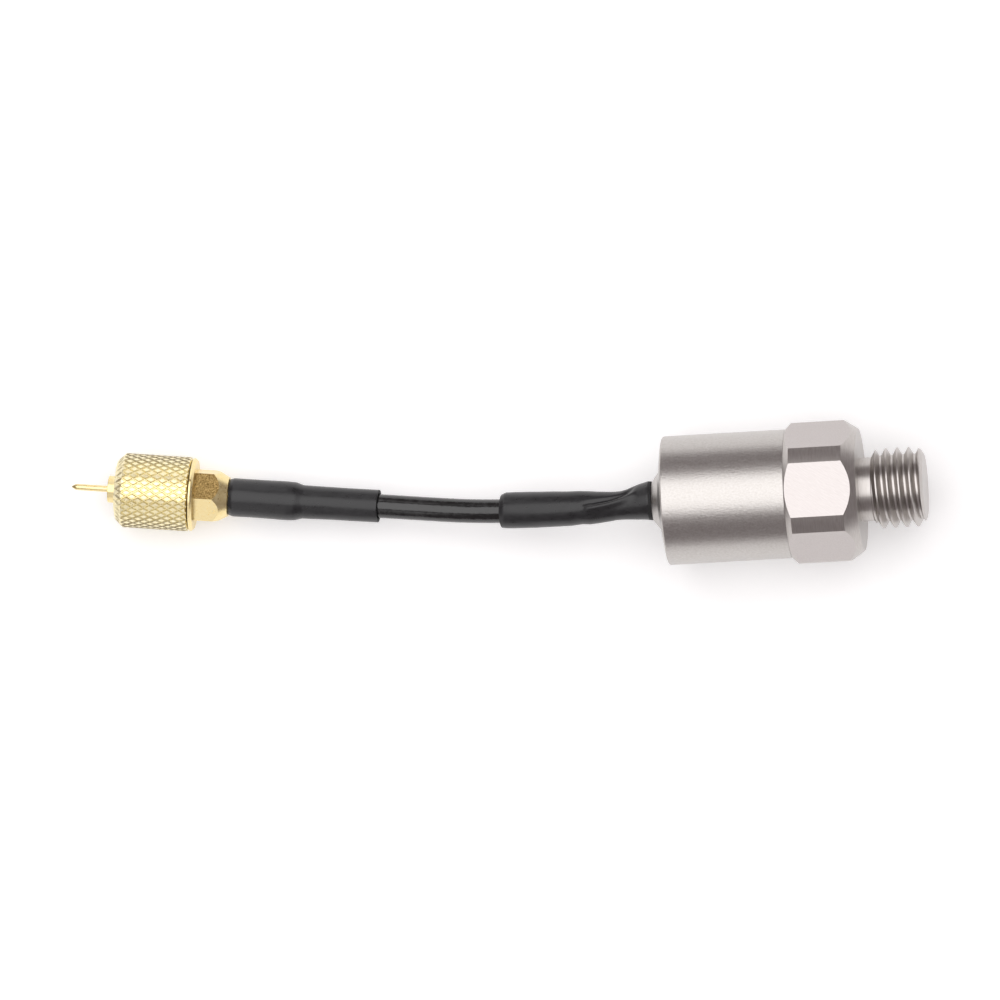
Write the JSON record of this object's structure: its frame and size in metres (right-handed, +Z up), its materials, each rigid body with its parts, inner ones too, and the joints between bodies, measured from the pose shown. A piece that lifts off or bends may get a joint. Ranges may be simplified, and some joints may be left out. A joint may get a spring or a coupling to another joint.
{
  "type": "vibration sensor",
  "caption": "Cylindrical shock and vibration sensor with a hexagon base, a threaded mounting stud and a short coaxial cable that ends in a gold knurled screw-on plug.",
  "frame": {"origin": "centre of the mounting face, where the stud leaves the hexagon base", "axes": "+X along the stud, away from the sensor; the cable leaves towards -X; +Z up, square to a hexagon flat; the sensor lies on the flat that faces -Z"},
  "size_m": [0.0682, 0.0119, 0.0104],
  "materials": {
    "titanium": "turned and milled titanium, satin",
    "titanium_can": "turned titanium with fine circumferential marks",
    "piezo_ceramic": "ground ceramic",
    "steel": "turned steel",
    "carrier_plastic": "machined plastic",
    "board_laminate": "solder-resist laminate",
    "chip_plastic": "moulded epoxy",
    "copper": "drawn copper wire",
    "epoxy": "cast epoxy",
    "heat_shrink": "black heat-shrink tube, satin",
    "cable_jacket": "extruded black jacket, glossy",
    "gold_plate": "gold-plated brass, bright",
    "ptfe": "white fluoropolymer"
  },
  "bodies": {
    "sensor": {"sensor_base": "titanium", "housing_can": "titanium_can", "piezo_ring": "piezo_ceramic", "seismic_mass": "steel", "preload_ring": "steel", "board_carrier": "carrier_plastic", "circuit_board": "board_laminate", "amplifier_chip": "chip_plastic", "chip_resistors": "chip_plastic", "signal_lead": "copper", "core_lead": "copper", "cable_potting": "epoxy", "cable_anchor": "steel", "sensor_sleeve": "heat_shrink", "cable": "cable_jacket", "plug_sleeve": "heat_shrink", "crimp_ferrule": "gold_plate", "plug_body": "gold_plate", "contact_sleeve": "gold_plate", "plug_insulator": "ptfe", "contact_pin": "gold_plate"},
    "nut": {"coupling_nut": "gold_plate"}
  },
  "joints": [
    {"name": "nut_spin", "type": "hinge", "parent": "sensor", "child": "nut", "pos_m": [-0.05944, 0.00348, -0.00224], "axis": [0.9925, -0.1219, 0], "continuous": true}
  ]
}
